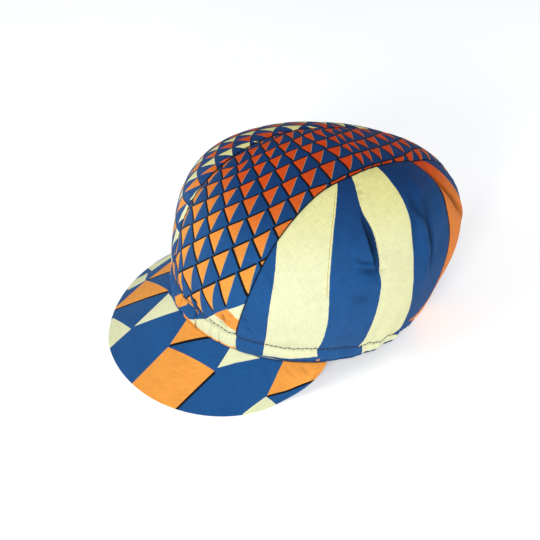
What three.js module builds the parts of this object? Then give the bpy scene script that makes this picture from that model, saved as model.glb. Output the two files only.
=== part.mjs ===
// Cycling cap of printed cotton: four-panel crown, folded hem casing, inner sweatband
// and a short drooping peak. Millimetres, +Z up. The peak points to -Y and the
// wearer's left is +X. The cap rests on the rear of its hem and on the edge of its peak.
import * as THREE from 'three';

// Hem opening
const hemLength = 194.6;
const hemWidth = 157.2;
const hemPower = 1.975;
const hemTilt = THREE.MathUtils.degToRad(11.87); // front of the hem raised by the peak

// Crown
const crownHeight = 132.9;
const clothWall = 1.2;
const seamGap = 0.3;
const seamDip = 0.8; // how far the cloth sinks at a seam
const seamSoftness = 4; // distance from the seam at which the dip has mostly gone
const squareSpan = 140; // length of cloth per unit of the crown's square coordinates

// Hem casing and sweatband
const stitchHeightFront = 16; // top-stitching above the hem
const stitchHeightRear = 9;
const stitchDip = 1.6;
const stitchSoftness = 6;
const casingWall = 2.2;
const sweatbandWall = 1;
const sweatbandHeight = 24;
const sweatbandDrop = 3.6; // how far it hangs below the casing at the sides
const gatherCount = 22;
const gatherReach = 17; // height over which the gathers fade out

// Peak
const peakLength = 64.8;
const peakWall = 2;
const peakEndAngle = THREE.MathUtils.degToRad(88); // from the middle to each end of the peak
const peakRoundness = 1.449;
const peakTuckUnder = 0.6; // how far the peak starts inside the outer face of the hem
const peakDroopMost = THREE.MathUtils.degToRad(62);
const peakDroopEase = THREE.MathUtils.degToRad(4); // how gently the droop nears its most

// Flattened where the cloth rests
const restDepth = 0.8;

// Crown sections at eight stations from the front toward the wearer's left, 45 degrees apart.
// bulge: how far the section stands out past the hem, as a share of the hem's radius
// shoulder: height at which it turns inward, as a share of the crown's height
// top: width of the flat top, as a share of the hem's radius
const crownSections = [
  { bulge: 0.04, shoulder: 0.79, top: 0.71 }, // front
  { bulge: 0.37, shoulder: 0.62, top: 0.54 },
  { bulge: 0.2, shoulder: 0.56, top: 0.66 }, // wearer's left
  { bulge: 0.24, shoulder: 0.73, top: 0.73 },
  { bulge: 0.4, shoulder: 0.79, top: 0.74 }, // rear
  { bulge: 0.23, shoulder: 0.48, top: 0.64 },
  { bulge: 0.15, shoulder: 0.44, top: 0.57 }, // wearer's right
  { bulge: 0.44, shoulder: 0.6, top: 0.52 },
];

// Seams across the crown in eleven even steps from the front hem to the rear hem.
// Each share runs from -1 at the right edge of the crown to 1 at its left edge.
const seamSteps = [
  { left: 0.96, centre: 0, right: -0.96 }, // front hem
  { left: 0.785, centre: 0, right: -0.785 },
  { left: 0.615, centre: 0, right: -0.62 },
  { left: 0.45, centre: 0, right: -0.47 },
  { left: 0.325, centre: -0.03, right: -0.385 },
  { left: 0.25, centre: -0.06, right: -0.35 },
  { left: 0.135, centre: -0.085, right: -0.3 },
  { left: 0.05, centre: -0.09, right: -0.24 },
  { left: 0.045, centre: -0.075, right: -0.2 },
  { left: 0.09, centre: -0.04, right: -0.175 },
  { left: 0.17, centre: 0, right: -0.17 }, // rear hem
];

// Tucks, dimples and soft ridges of the left side panel, in the crown's square coordinates.
// A positive depth sinks into the cloth.
const folds = [
  { fromX: 0.28, fromY: -0.005, toX: 0.43, toY: 0.02, depth: 1.6, halfWidth: 4 },
  { fromX: 0.46, fromY: 0.03, toX: 0.56, toY: 0.08, depth: 2, halfWidth: 5 },
  { fromX: 0.575, fromY: -0.02, toX: 0.61, toY: 0.13, depth: -1.2, halfWidth: 5 },
  { fromX: 0.605, fromY: -0.03, toX: 0.645, toY: 0.16, depth: 2.6, halfWidth: 5 },
  { fromX: 0.115, fromY: 0.28, toX: 0.23, toY: 0.56, depth: 2, halfWidth: 4.5 },
  { fromX: 0.27, fromY: 0.3, toX: 0.5, toY: 0.44, depth: -1.6, halfWidth: 8 },
  { fromX: 0.25, fromY: 0.36, toX: 0.47, toY: 0.53, depth: 1.6, halfWidth: 7 },
];

// Gathers of the hem, in eight steps from the front toward the wearer's left
const gatherDepths = [0.25, 0.3, 0.4, 1.1, 1.7, 1.1, 0.4, 0.3];

// Mesh steps
const sideColumns = 15;
const middleColumns = 8;
const panelRows = 30;
const ringSteps = 96;
const peakColumns = 36;
const peakRows = 8;

const colours = {
  blue: 0x2f66a8,
  darkBlue: 0x1f4a86,
  paleYellow: 0xf1efb2,
  orange: 0xf0913f,
};

const fullTurn = 2 * Math.PI;
const restLevel = -Math.sin(hemTilt) * hemLength / 2 + restDepth;

const sectionCurve = new THREE.CatmullRomCurve3(
  crownSections.map((row) => new THREE.Vector3(row.bulge, row.shoulder, row.top)),
  true,
  'catmullrom',
  0.5,
);

const seamCurve = new THREE.CatmullRomCurve3(
  seamSteps.map((row) => new THREE.Vector3(row.left, row.centre, row.right)),
  false,
  'catmullrom',
  0.5,
);

// Angle 0 is the front and a quarter turn is the wearer's left.
function turnShare(angle) {
  return THREE.MathUtils.euclideanModulo(angle / fullTurn, 1);
}

// 0 at the front, 1 at the rear
function rearward(angle) {
  return 1 - Math.abs(1 - 2 * turnShare(angle));
}

function aroundHem(steps, angle) {
  const place = turnShare(angle) * steps.length;
  const index = Math.floor(place) % steps.length;
  const next = (index + 1) % steps.length;
  return THREE.MathUtils.lerp(steps[index], steps[next], place - Math.floor(place));
}

function hemRadius(angle) {
  const across = Math.abs(Math.sin(angle)) * 2 / hemWidth;
  const along = Math.abs(Math.cos(angle)) * 2 / hemLength;
  return (across ** hemPower + along ** hemPower) ** (-1 / hemPower);
}

function hemPoint(angle) {
  const radius = hemRadius(angle);
  return new THREE.Vector3(Math.sin(angle) * radius, -Math.cos(angle) * radius, 0);
}

function hemNormal(angle) {
  const along = hemPoint(angle + 0.001).sub(hemPoint(angle - 0.001));
  return new THREE.Vector3(along.y, -along.x, 0).normalize();
}

// Height of the crown section at a rise from 0 at the hem to 1 at the top
function sectionHeight(section, rise) {
  const left = 1 - rise;
  return crownHeight * (3 * section.y * rise * left ** 2 + 3 * rise ** 2 * left + rise ** 3);
}

function sectionReach(section, rise) {
  const left = 1 - rise;
  return left ** 3 + 3 * (1 + section.x) * rise * left ** 2 + 3 * section.z * rise ** 2 * left;
}

function crownBase(angle, rise) {
  const section = sectionCurve.getPoint(turnShare(angle));
  const radius = hemRadius(angle) * sectionReach(section, rise);
  const height = sectionHeight(section, rise);
  return new THREE.Vector3(Math.sin(angle) * radius, -Math.cos(angle) * radius, height);
}

function riseAtHeight(angle, height) {
  const section = sectionCurve.getPoint(turnShare(angle));
  let low = -0.2;
  let high = 0.5;
  for (let step = 0; step < 30; step += 1) {
    const middle = (low + high) / 2;
    if (sectionHeight(section, middle) < height) {
      low = middle;
    } else {
      high = middle;
    }
  }
  return (low + high) / 2;
}

function stitchHeight(angle) {
  const share = THREE.MathUtils.smoothstep(rearward(angle), 0.42, 0.75);
  return THREE.MathUtils.lerp(stitchHeightFront, stitchHeightRear, share);
}

// The crown above the stitching is a disc with its top in the middle. The disc is stretched
// to a square from -1 to 1 each way, so that the seams and panels are strips of the square.
function discToSquare(x, y) {
  const root = (value) => Math.sqrt(Math.max(value, 0));
  const stretch = 2 * Math.SQRT2;
  const wide = 2 + x * x - y * y;
  const deep = 2 - x * x + y * y;
  return {
    x: (root(wide + stretch * x) - root(wide - stretch * x)) / 2,
    y: (root(deep + stretch * y) - root(deep - stretch * y)) / 2,
  };
}

function squareToCrown(x, y) {
  const discX = x * Math.sqrt(1 - y * y / 2);
  const discY = y * Math.sqrt(1 - x * x / 2);
  const angle = Math.atan2(discX, -discY);
  const outward = Math.min(Math.hypot(discX, discY), 1);
  const hemRise = riseAtHeight(angle, stitchHeight(angle));
  return { angle, rise: 1 - outward * (1 - hemRise) };
}

function seamsAt(y) {
  return seamCurve.getPoint(THREE.MathUtils.clamp((y + 1) / 2, 0, 1));
}

function dipNearSeams(place) {
  const seams = seamsAt(place.y);
  const nearest = Math.min(...seams.toArray().map((x) => Math.abs(place.x - x)));
  return seamDip * Math.exp(-((nearest * squareSpan / seamSoftness) ** 2));
}

function foldRelief(place) {
  let relief = 0;
  for (const fold of folds) {
    const start = new THREE.Vector2(fold.fromX, fold.fromY);
    const run = new THREE.Vector2(fold.toX, fold.toY).sub(start);
    const offset = new THREE.Vector2(place.x, place.y).sub(start);
    const share = THREE.MathUtils.clamp(offset.dot(run) / run.lengthSq(), 0, 1);
    const distance = offset.sub(run.multiplyScalar(share)).length() * squareSpan;
    relief -= fold.depth * Math.exp(-((distance / fold.halfWidth) ** 2));
  }
  return relief;
}

// How far the cloth stands out from the smooth crown
function relief(angle, rise, height) {
  const fromStitching = height - stitchHeight(angle);
  const hemRise = riseAtHeight(angle, stitchHeight(angle));
  const outward = Math.min((1 - rise) / (1 - hemRise), 1);
  const place = discToSquare(Math.sin(angle) * outward, -Math.cos(angle) * outward);
  const gatherPhase = gatherCount * angle + 1.5 * Math.sin(3 * angle);
  const gatherFade = Math.exp(-Math.abs(fromStitching) / gatherReach);
  const gather = aroundHem(gatherDepths, angle) * Math.cos(gatherPhase) * gatherFade;
  const stitching = stitchDip * Math.exp(-((fromStitching / stitchSoftness) ** 2));
  return gather - stitching - dipNearSeams(place) + foldRelief(place);
}

// A point of the cloth, a given depth below its outer face
function clothPoint(angle, rise, depth) {
  const held = Math.min(rise, 0.999);
  const point = crownBase(angle, held);
  const around = crownBase(angle + 0.001, held).sub(crownBase(angle - 0.001, held));
  const upward = crownBase(angle, held + 0.0005).sub(crownBase(angle, held - 0.0005));
  const normal = around.cross(upward).normalize();
  return point.addScaledVector(normal, relief(angle, held, point.z) - depth);
}

function clothAtHeight(angle, height, depth) {
  return clothPoint(angle, riseAtHeight(angle, height), depth);
}

// Tilts a point from the hem's own frame to the table, and flattens what rests there.
function settle(point) {
  point.applyAxisAngle(new THREE.Vector3(1, 0, 0), -hemTilt);
  point.z = Math.max(point.z, restLevel) - restLevel;
  return point;
}

function moveToward(point, target, distance) {
  return point.clone().lerp(target, distance / point.distanceTo(target));
}

// Draws the borders of a grid of points in by the same distance.
function insetGrid(grid, distance) {
  const lastRow = grid.length - 1;
  const lastColumn = grid[0].length - 1;
  for (const row of grid) {
    row[0] = moveToward(row[0], row[1], distance);
    row[lastColumn] = moveToward(row[lastColumn], row[lastColumn - 1], distance);
  }
  grid[0] = grid[0].map((point, column) => moveToward(point, grid[1][column], distance));
  grid[lastRow] = grid[lastRow].map(
    (point, column) => moveToward(point, grid[lastRow - 1][column], distance),
  );
  return grid;
}

function makeMesh(name, points, faces, colour, roughness) {
  const geometry = new THREE.BufferGeometry();
  const settled = points.map((point) => settle(point.clone()));
  geometry.setFromPoints(settled);
  geometry.setIndex(faces.flat());
  geometry.computeVertexNormals();
  const material = new THREE.MeshStandardMaterial({ color: colour, roughness, metalness: 0 });
  const mesh = new THREE.Mesh(geometry, material);
  mesh.name = name;
  return mesh;
}

// A closed sheet between an outer and an inner grid. turned(column, row) says which way
// a cell is split in two.
function sheetMesh(name, outer, inner, turned, colour) {
  const rows = outer.length - 1;
  const columns = outer[0].length - 1;
  const points = [...outer.flat(), ...inner.flat()];
  const innerStart = outer.flat().length;
  const faces = [];
  const at = (column, row, side) => side * innerStart + row * (columns + 1) + column;
  const quad = (a, b, c, d, split) => {
    faces.push(...(split ? [[a, b, d], [b, c, d]] : [[a, b, c], [a, c, d]]));
  };
  for (let row = 0; row < rows; row += 1) {
    for (let column = 0; column < columns; column += 1) {
      const split = turned(column, row);
      const corners = [[0, 0], [1, 0], [1, 1], [0, 1]];
      const [a, b, c, d] = corners.map(([x, y]) => at(column + x, row + y, 0));
      const [e, f, g, h] = corners.map(([x, y]) => at(column + x, row + y, 1));
      quad(a, b, c, d, split);
      quad(f, e, h, g, !split);
    }
  }
  for (let column = 0; column < columns; column += 1) {
    const next = column + 1;
    quad(at(column, 0, 1), at(next, 0, 1), at(next, 0, 0), at(column, 0, 0), false);
    quad(at(column, rows, 0), at(next, rows, 0), at(next, rows, 1), at(column, rows, 1), false);
  }
  for (let row = 0; row < rows; row += 1) {
    const next = row + 1;
    quad(at(0, row, 0), at(0, next, 0), at(0, next, 1), at(0, row, 1), false);
    quad(at(columns, row, 1), at(columns, next, 1), at(columns, next, 0), at(columns, row, 0), false);
  }
  return makeMesh(name, points, faces, colour, 0.85);
}

// A closed ring round the hem from a section that lists its points from the outer face,
// upward, over the top and down the inner face.
function ringMesh(name, sectionAt, colour) {
  const points = [];
  const faces = [];
  let count = 0;
  for (let step = 0; step < ringSteps; step += 1) {
    const section = sectionAt(fullTurn * step / ringSteps);
    count = section.length;
    points.push(...section);
  }
  const total = ringSteps * count;
  for (let step = 0; step < ringSteps; step += 1) {
    for (let place = 0; place < count; place += 1) {
      const next = (place + 1) % count;
      const a = step * count + place;
      const b = ((step + 1) * count + place) % total;
      const c = ((step + 1) * count + next) % total;
      const d = step * count + next;
      faces.push([a, b, c], [a, c, d]);
    }
  }
  return makeMesh(name, points, faces, colour, 0.85);
}

function crownPanel(name, fromEdge, toEdge, columns, colour) {
  const squarePlace = (column, row) => {
    const y = 2 * row / panelRows - 1;
    const share = column / columns;
    return { x: THREE.MathUtils.lerp(fromEdge(y), toEdge(y), share), y };
  };
  const gridAtDepth = (depth) => {
    const grid = [];
    for (let row = 0; row <= panelRows; row += 1) {
      const points = [];
      for (let column = 0; column <= columns; column += 1) {
        const { x, y } = squarePlace(column, row);
        const { angle, rise } = squareToCrown(x, y);
        points.push(clothPoint(angle, rise, depth));
      }
      grid.push(points);
    }
    return insetGrid(grid, seamGap / 2);
  };
  const turned = (column, row) => {
    const { x, y } = squarePlace(column + 0.5, row + 0.5);
    return x * y < 0;
  };
  return sheetMesh(name, gridAtDepth(0), gridAtDepth(clothWall), turned, colour);
}

// Share by which the sweatband shows below the casing
function sweatbandShare(angle) {
  const place = rearward(angle);
  const starts = THREE.MathUtils.smoothstep(place, 0.25, 0.36);
  const ends = 1 - THREE.MathUtils.smoothstep(place, 0.82, 0.94);
  return starts * ends;
}

function casingSection(angle) {
  const bottom = sweatbandDrop * sweatbandShare(angle);
  const top = stitchHeight(angle) - seamGap / 2;
  const fold = 0.5; // rounding of the folded lower edge
  const corners = [
    [bottom, fold],
    [bottom + fold, 0],
    [(bottom + top) / 2, 0],
    [top, 0],
    [top, casingWall],
    [(bottom + top) / 2, casingWall],
    [bottom + fold, casingWall],
    [bottom, casingWall - fold],
  ];
  return corners.map(([height, depth]) => clothAtHeight(angle, height, depth));
}

function sweatbandSection(angle) {
  const share = sweatbandShare(angle);
  const bottom = sweatbandDrop * share;
  const top = stitchHeight(angle) - seamGap / 2;
  const middle = (bottom + top) / 2;
  const depth = casingWall + 0.4;
  const inside = depth + sweatbandWall;
  const lipDepth = THREE.MathUtils.lerp(depth, 1, share);
  const bendDepth = THREE.MathUtils.lerp(depth, lipDepth, 0.8);
  const lowest = 0.5 * (1 - share);
  const bend = lowest + Math.max(0.4 * bottom, 0.3);
  const corners = [
    [lowest, lipDepth],
    [bend, bendDepth],
    [bottom + 1, depth],
    [middle, depth],
    [top, depth],
    [sweatbandHeight, depth],
    [sweatbandHeight, inside],
    [top, inside],
    [middle, inside],
    [bottom + 1.6, inside],
    [bend, inside],
    [lowest, bendDepth + sweatbandWall],
  ];
  return corners.map(([height, inward]) => clothAtHeight(angle, height, inward));
}

// Angle below the hem's plane at which a ray of the peak meets the table with its edge
function peakDroop(angle, length) {
  const across = -Math.sin(hemTilt) * hemNormal(angle).y * length;
  const down = -Math.cos(hemTilt) * length;
  const edgeLevel = restLevel + peakWall / 2 - restDepth / 2;
  const wanted = edgeLevel + Math.sin(hemTilt) * hemPoint(angle).y;
  const share = THREE.MathUtils.clamp(wanted / Math.hypot(across, down), -1, 1);
  const droop = Math.atan2(down, across) + Math.acos(share);
  const excess = Math.log(1 + Math.exp((peakDroopMost - droop) / peakDroopEase));
  return peakDroopMost - peakDroopEase * excess;
}

function peakPoint(across, outward, depth) {
  const angle = across * peakEndAngle;
  const roundness = 1 - Math.abs(across) ** peakRoundness;
  const length = peakLength * Math.max(roundness, 0) ** (1 / peakRoundness);
  const droop = peakDroop(angle, Math.max(length, 1));
  const normal = hemNormal(angle);
  const ray = normal.clone().multiplyScalar(Math.cos(droop));
  ray.z = -Math.sin(droop);
  const face = normal.clone().multiplyScalar(Math.sin(droop));
  face.z = Math.cos(droop);
  const root = hemPoint(angle).addScaledVector(normal, -peakTuckUnder);
  root.z = -seamGap;
  const reach = Math.max(length + peakTuckUnder, 2);
  return root.addScaledVector(ray, reach * outward).addScaledVector(face, -depth);
}

function makePeak() {
  const gridAtDepth = (depth) => {
    const grid = [];
    for (let row = 0; row <= peakRows; row += 1) {
      const points = [];
      for (let column = 0; column <= peakColumns; column += 1) {
        const across = 2 * column / peakColumns - 1;
        const eased = Math.sin(across * Math.PI / 2);
        points.push(peakPoint(eased, 1 - row / peakRows, depth));
      }
      grid.push(points);
    }
    return grid;
  };
  const turned = (column) => column < peakColumns / 2;
  return sheetMesh('peak', gridAtDepth(0), gridAtDepth(peakWall), turned, colours.orange);
}

function makeCap() {
  const left = (y) => seamsAt(y).x;
  const centre = (y) => seamsAt(y).y;
  const right = (y) => seamsAt(y).z;
  const group = new THREE.Group();
  group.name = 'cycling_cap';
  group.add(
    makePeak(),
    ringMesh('hem_casing', casingSection, colours.blue),
    ringMesh('sweatband', sweatbandSection, colours.darkBlue),
    crownPanel('side_panel_left', left, () => 1, sideColumns, colours.paleYellow),
    crownPanel('side_panel_right', () => -1, right, sideColumns, colours.paleYellow),
    crownPanel('middle_panel_left', centre, left, middleColumns, colours.blue),
    crownPanel('middle_panel_right', right, centre, middleColumns, colours.darkBlue),
  );

  // Origin under the middle of the whole cap
  const middle = new THREE.Box3().setFromObject(group).getCenter(new THREE.Vector3());
  for (const mesh of group.children) {
    mesh.geometry.translate(-middle.x, -middle.y, 0);
  }
  return group;
}

const group = makeCap();

export default group;
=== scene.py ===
# Dresses the frame of a printed cotton cycling cap: crown panels, folded hem casing,
# sweatband, peak, turned seam edges and stitches. Sizes are in millimetres until a mesh is made.
import math
import bpy
import numpy as np
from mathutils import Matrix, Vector


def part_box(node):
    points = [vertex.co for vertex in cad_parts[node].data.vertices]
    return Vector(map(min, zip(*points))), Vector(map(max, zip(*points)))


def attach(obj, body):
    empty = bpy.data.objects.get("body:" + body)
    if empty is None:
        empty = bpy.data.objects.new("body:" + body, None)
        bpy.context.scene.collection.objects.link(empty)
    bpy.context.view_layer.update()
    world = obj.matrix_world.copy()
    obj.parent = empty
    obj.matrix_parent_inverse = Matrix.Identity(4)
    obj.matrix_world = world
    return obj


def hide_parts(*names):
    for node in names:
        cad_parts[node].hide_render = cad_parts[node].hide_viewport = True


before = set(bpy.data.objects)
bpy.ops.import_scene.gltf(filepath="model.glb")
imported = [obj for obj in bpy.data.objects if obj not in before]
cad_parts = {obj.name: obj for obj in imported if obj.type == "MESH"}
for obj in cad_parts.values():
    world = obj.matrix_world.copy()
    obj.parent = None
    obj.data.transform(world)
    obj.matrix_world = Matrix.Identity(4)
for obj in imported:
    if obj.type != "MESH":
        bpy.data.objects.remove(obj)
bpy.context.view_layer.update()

scene = bpy.context.scene

# Camera of the photograph, aimed at the middle of the hem, in degrees and millimetres
camera = {
    "azimuth": 73.2, "elevation": 45.3, "distance": 500,
    "lens": 43.33, "sensor": 36, "shift": (-0.0512, 0.0269),
}

# Sizes in millimetres, in the cap's own frame: the middle of the hem is the origin, the
# peak points to -y and the wearer's left is +x.
hem = {
    "length": 194.6, "width": 157.2, "power": 1.975,
    "tilt": math.radians(11.87),  # front of the hem raised by the peak
    "flattened": 0.8,  # how much of the rear hem is pressed flat on the table
    "stitchHeightFront": 16, "stitchHeightRear": 9,
    "stitchDip": 1.6, "stitchSoftness": 6,
}
crown = {
    "height": 132.9, "wall": 1.2, "squareSpan": 140,
    "seamDip": 0.8, "seamSoftness": 4,
    "seamOpening": 0.22, "seamRoll": 0.7, "seamRollWidth": 1.0,  # the turned edges at a seam
    "gatherCount": 22, "gatherReach": 17,
    "gatherWaver": (1.5, 3), "gatherRipple": 0.6,  # unevenness of the gathers
    "puckerCount": 74, "pucker": 0.22, "puckerReach": 7,  # small puckers along the stitching
    "seamPucker": 0.2, "seamPuckerCount": 150, "seamPuckerReach": 4,  # ripples across the seams
    "slack": 0.45, "slackStart": 20,  # slow unevenness of the worn cloth above the stitching
}

# Crown sections from the front toward the wearer's left, 45 degrees apart:
# bulge past the hem, height of the shoulder, width of the flat top
crownSections = [
    (0.04, 0.79, 0.71), (0.37, 0.62, 0.54), (0.2, 0.56, 0.66), (0.24, 0.73, 0.73),
    (0.4, 0.79, 0.74), (0.23, 0.48, 0.64), (0.15, 0.44, 0.57), (0.44, 0.6, 0.52),
]
# Left, centre and right seam in even steps from the front hem to the rear hem
seamSteps = [
    (0.96, 0, -0.96), (0.785, -0.014, -0.785), (0.615, 0.001, -0.62), (0.45, -0.003, -0.47),
    (0.325, -0.033, -0.385), (0.25, -0.06, -0.35), (0.135, -0.085, -0.3),
    (0.05, -0.09, -0.24), (0.045, -0.075, -0.2), (0.09, -0.04, -0.175), (0.17, 0, -0.17),
]
# Depth of the gathers at the hem, in even steps round it from the front
gatherDepths = [0.25, 0.3, 0.4, 1.1, 1.7, 1.1, 0.4, 0.3]

# Folds of the crown: from x, y to x, y of its square, depth, half width
folds = [
    (0.28, -0.005, 0.43, 0.02, 0.7, 4),
    (0.46, 0.03, 0.56, 0.08, 0.6, 5),
    (0.575, -0.02, 0.61, 0.13, -0.8, 5),
    (0.605, -0.03, 0.645, 0.16, 1.6, 5),
    (0.115, 0.28, 0.23, 0.56, 2, 4.5),
    (0.27, 0.3, 0.5, 0.44, -1.6, 8),
    (0.25, 0.36, 0.47, 0.53, 1.6, 7),
]
# Creases too small for the frame's solids: a path over the square, depth, half width
creases = [
    ([(0.296, -0.012), (0.292, 0.03)], 0.6, 1.3),  # puckers at the top of the blue stripe
    ([(0.323, -0.006), (0.327, 0.037)], 0.8, 1.3),
    ([(0.349, 0.0), (0.358, 0.034)], 0.5, 1.3),
    ([(0.585, -0.07), (0.604, 0.0), (0.616, 0.06), (0.62, 0.11), (0.6, 0.145)], 1.5, 1.1),
    ([(0.61, -0.06), (0.624, 0.0), (0.632, 0.07), (0.628, 0.14)], -1.1, 1.2),
    ([(0.62, -0.03), (0.64, 0.04), (0.649, 0.1), (0.65, 0.16), (0.645, 0.2)], 1.9, 1.9),
    ([(0.45, -0.905), (0.466, -0.922), (0.509, -0.946), (0.543, -0.992), (0.59, -1.08)],
     3.6, 1.1),  # at the front
    ([(0.44, -0.7), (0.477, -0.72), (0.523, -0.743), (0.574, -0.77)], 0.7, 1.8),
    ([(0.34, -0.572), (0.418, -0.587), (0.49, -0.598)], 0.6, 1.8),
    ([(0.7, -0.89), (0.74, -0.908), (0.767, -0.915), (0.82, -0.915)], 1.8, 1.3),
    ([(0.27, -0.92), (0.3, -1), (0.33, -1.08)], 1.8, 1.3),
    ([(0.62, -0.96), (0.64, -1), (0.66, -1.04)], 0.35, 1.1),
    ([(0.72, -0.96), (0.735, -1), (0.75, -1.04)], 0.5, 1.3),
    ([(0.8, -0.96), (0.82, -1), (0.83, -1.04)], 0.6, 1.1),
    ([(0.5, -0.5), (0.6, -0.482), (0.68, -0.497)], 0.7, 2),
    ([(0.67, -0.06), (0.695, 0.02), (0.7, 0.1), (0.69, 0.18)], -1.3, 3.2),  # below the dimple
    ([(0.73, -0.08), (0.755, 0.02), (0.76, 0.1), (0.74, 0.17)], 0.8, 3),
    ([(0.8, -0.1), (0.84, 0.0), (0.86, 0.08)], -0.7, 3.5),
    ([(0.44, -0.09), (0.5, -0.06), (0.56, -0.055)], -0.7, 3.5),
    ([(0.67, -0.83), (0.71, -0.858), (0.76, -0.89)], 2.2, 1.3),
    ([(0.736, -0.745), (0.777, -0.722)], 0.9, 1.5),  # beside the front seam
    ([(0.794, -0.775), (0.852, -0.75)], 0.9, 1.6),
    ([(0.76, -0.76), (0.81, -0.73)], -0.7, 1.8),
    ([(0.668, -0.7), (0.701, -0.672)], 0.6, 1.5),
    ([(0.69, -0.77), (0.74, -0.83)], 0.8, 2),
    ([(0.72, -0.84), (0.79, -0.86)], 0.8, 1.8),
    ([(0.25, 0.28), (0.311, 0.314), (0.351, 0.343), (0.398, 0.37), (0.447, 0.41),
      (0.5, 0.465), (0.58, 0.53)], 2.8, 2.4),  # soft folds at the rear of the left side
    ([(0.29, 0.225), (0.352, 0.289), (0.38, 0.325), (0.41, 0.37)], 1.9, 2.4),
    ([(0.37, 0.295), (0.433, 0.353), (0.5, 0.399), (0.568, 0.456), (0.661, 0.559)], -2.5, 3),
    ([(0.19, 0.325), (0.267, 0.391), (0.331, 0.443), (0.405, 0.497)], -1.9, 4),
    ([(0.17, 0.236), (0.236, 0.259), (0.3, 0.285)], -1.1, 3),
    ([(0.21, 0.218), (0.314, 0.249), (0.39, 0.284), (0.473, 0.319), (0.555, 0.36)], 1.0, 2.2),
    ([(-0.3, -0.1), (-0.45, 0.05)], 1.1, 4),  # the right side
    ([(-0.45, 0.1), (-0.62, 0.2)], 1.3, 4),
    ([(-0.2, 0.3), (-0.4, 0.55)], 1.4, 4),
    ([(-0.24, 0.36), (-0.46, 0.62)], -1.0, 4),
    ([(-0.1, 0.7), (0.08, 0.78)], 0.8, 4),  # the rear of the middle
    ([(0.0, 0.5), (0.03, 0.8)], -0.7, 5),
]
# Where the cloth is folded over itself: a path, lift of the cloth to the left of it and its
# reach, hollow to the right and its reach, half width of the step, painted shade of its line
pleats = [
    ([(0.4, 0.018), (0.45, 0.051), (0.5, 0.088), (0.55, 0.115), (0.6, 0.14), (0.65, 0.167)],
     0.3, 5, 3.7, 4.9, 0.35, 0.2),
    ([(0.115, 0.31), (0.15, 0.355), (0.178, 0.41), (0.196, 0.466), (0.207, 0.578),
      (0.22, 0.68)], 2.0, 5, 3.4, 2.8, 0.35, 0.9),
    ([(-0.35, 0.1), (-0.6, 0.25)], -0.7, 6, -0.7, 6, 2, 0),
]


def smoothShare(value, low, high):
    share = np.clip((value - low) / (high - low), 0, 1)
    return share * share * (3 - 2 * share)


# Catmull-Rom through the rows of a table, at places counted in rows
def alongTable(table, place, closed):
    rows = np.asarray(table, float)
    if closed:
        index = np.floor(place).astype(int)
        before, start, end, after = (rows[(index + k) % len(rows)] for k in (-1, 0, 1, 2))
    else:
        place = np.clip(place, 0, len(rows) - 1)
        index = np.minimum(np.floor(place).astype(int), len(rows) - 2)
        longer = np.vstack([2 * rows[0] - rows[1], rows, 2 * rows[-1] - rows[-2]])
        before, start, end, after = (longer[index + k] for k in range(4))
    share = (place - index)[..., None]
    leave, arrive = (end - before) / 2, (after - start) / 2
    bend = 2 * start - 2 * end + leave + arrive
    lean = -3 * start + 3 * end - 2 * leave - arrive
    return ((bend * share + lean) * share + leave) * share + start


def turnShare(angle):
    return np.mod(angle / (2 * np.pi), 1)


def rearward(angle):
    return 1 - np.abs(1 - 2 * turnShare(angle))


def aroundHem(steps, angle):
    place = turnShare(angle) * len(steps)
    index = np.floor(place).astype(int) % len(steps)
    values = np.asarray(steps, float)
    share = place - np.floor(place)
    return values[index] * (1 - share) + values[(index + 1) % len(steps)] * share


def hemRadius(angle):
    across = np.abs(np.sin(angle)) * 2 / hem["width"]
    along = np.abs(np.cos(angle)) * 2 / hem["length"]
    return (across ** hem["power"] + along ** hem["power"]) ** (-1 / hem["power"])


def hemPoint(angle):
    radius = hemRadius(angle)
    return np.stack([np.sin(angle) * radius, -np.cos(angle) * radius, 0 * radius], -1)


def hemNormal(angle):
    along = hemPoint(angle + 0.001) - hemPoint(angle - 0.001)
    normal = np.stack([along[..., 1], -along[..., 0], 0 * along[..., 0]], -1)
    return normal / np.linalg.norm(normal, axis=-1, keepdims=True)


def sectionHeight(shoulder, rise):
    left = 1 - rise
    share = 3 * shoulder * rise * left ** 2 + 3 * rise ** 2 * left + rise ** 3
    return crown["height"] * share


def crownSection(angle):
    section = alongTable(crownSections, turnShare(angle) * len(crownSections), True)
    return section[..., 0], section[..., 1], section[..., 2]


def crownBase(angle, rise):
    bulge, shoulder, top = crownSection(angle)
    left = 1 - rise
    reach = left ** 3 + 3 * (1 + bulge) * rise * left ** 2 + 3 * top * rise ** 2 * left
    radius = hemRadius(angle) * reach
    height = sectionHeight(shoulder, rise)
    return np.stack([np.sin(angle) * radius, -np.cos(angle) * radius, height], -1)


def riseAtHeight(angle, height):
    shoulder = crownSection(angle)[1]
    low, high = np.full(np.shape(shoulder), -0.2), np.full(np.shape(shoulder), 0.5)
    for _ in range(30):
        middle = (low + high) / 2
        below = sectionHeight(shoulder, middle) < height
        low, high = np.where(below, middle, low), np.where(below, high, middle)
    return (low + high) / 2


def stitchHeight(angle):
    share = smoothShare(rearward(angle), 0.42, 0.75)
    return hem["stitchHeightFront"] * (1 - share) + hem["stitchHeightRear"] * share


# The crown above the stitching is a disc stretched to a square from -1 to 1 each way.
def discToSquare(x, y):
    def root(value):
        return np.sqrt(np.maximum(value, 0))
    stretch, wide, deep = 2 * math.sqrt(2), 2 + x * x - y * y, 2 - x * x + y * y
    return ((root(wide + stretch * x) - root(wide - stretch * x)) / 2,
            (root(deep + stretch * y) - root(deep - stretch * y)) / 2)


def squareToCrown(x, y):
    discX, discY = x * np.sqrt(1 - y * y / 2), y * np.sqrt(1 - x * x / 2)
    angle = np.arctan2(discX, -discY)
    outward = np.minimum(np.hypot(discX, discY), 1)
    hemRise = riseAtHeight(angle, stitchHeight(angle))
    return angle, 1 - outward * (1 - hemRise)


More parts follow.
